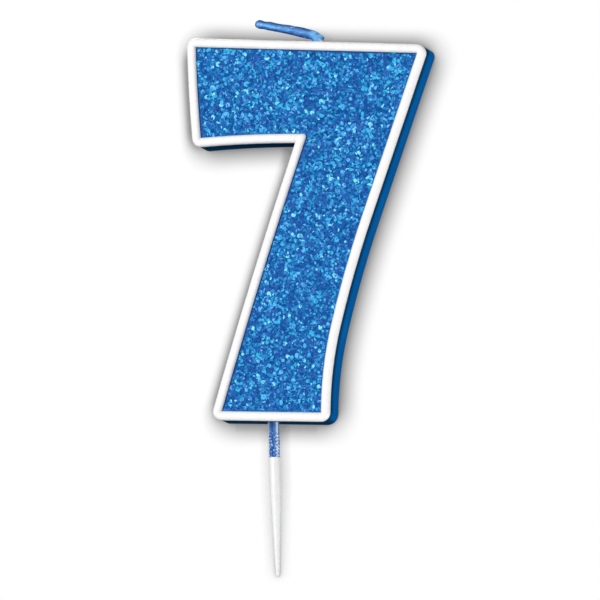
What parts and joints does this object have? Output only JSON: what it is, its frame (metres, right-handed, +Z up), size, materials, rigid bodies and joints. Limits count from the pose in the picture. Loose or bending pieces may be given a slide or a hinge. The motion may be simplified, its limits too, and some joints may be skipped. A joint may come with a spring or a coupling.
{
  "type": "number birthday candle",
  "caption": "Wax numeral seven candle with a raised white border and a blue glitter front, on a waxed wick held in a tapered white cake pick.",
  "frame": {"origin": "centre of the pick's top rim, where the waxed wick enters it", "axes": "+Z up, square to the numeral's flat base; the decorated front faces -Y; +X to the right seen from the front. The pick's own axis leans 3.4 degrees from Z in the XZ plane, its point towards +X"},
  "size_m": [0.0525, 0.012, 0.1205],
  "materials": {
    "blue_wax": "satin wax",
    "white_bead": "glossy white wax",
    "blue_gel": "glossy gel with fine glitter",
    "flake_cyan": "metallic glitter",
    "flake_blue": "metallic glitter",
    "flake_violet": "metallic glitter",
    "cotton": "braided cotton soaked in wax",
    "wick_wax": "translucent wax",
    "stub_wax": "wax with glossy flecks",
    "white_plastic": "moulded white plastic"
  },
  "bodies": {
    "pick": {"pick": "white_plastic"},
    "candle": {"wax_body": "blue_wax", "border_bead": "white_bead", "glitter_bed": "blue_gel", "glitter_flakes_cyan": "flake_cyan", "glitter_flakes_blue": "flake_blue", "glitter_flakes_violet": "flake_violet", "wick_core": "cotton", "wick_stub_wax": "stub_wax", "wick_root_wax": "wick_wax"},
    "wick_tail": {"wick_tail_core": "cotton", "wick_tail_wax": "wick_wax"}
  },
  "joints": [
    {"name": "candle_lift", "type": "slide", "parent": "pick", "child": "candle", "axis": [-0.0593, 0, 0.9982], "range_m": [0, 0.012]},
    {"name": "wick_bend", "type": "hinge", "parent": "candle", "child": "wick_tail", "pos_m": [0.00665, 0, 0.09121], "axis": [0, 1, 0], "range_deg": [-8, 78.6]}
  ]
}
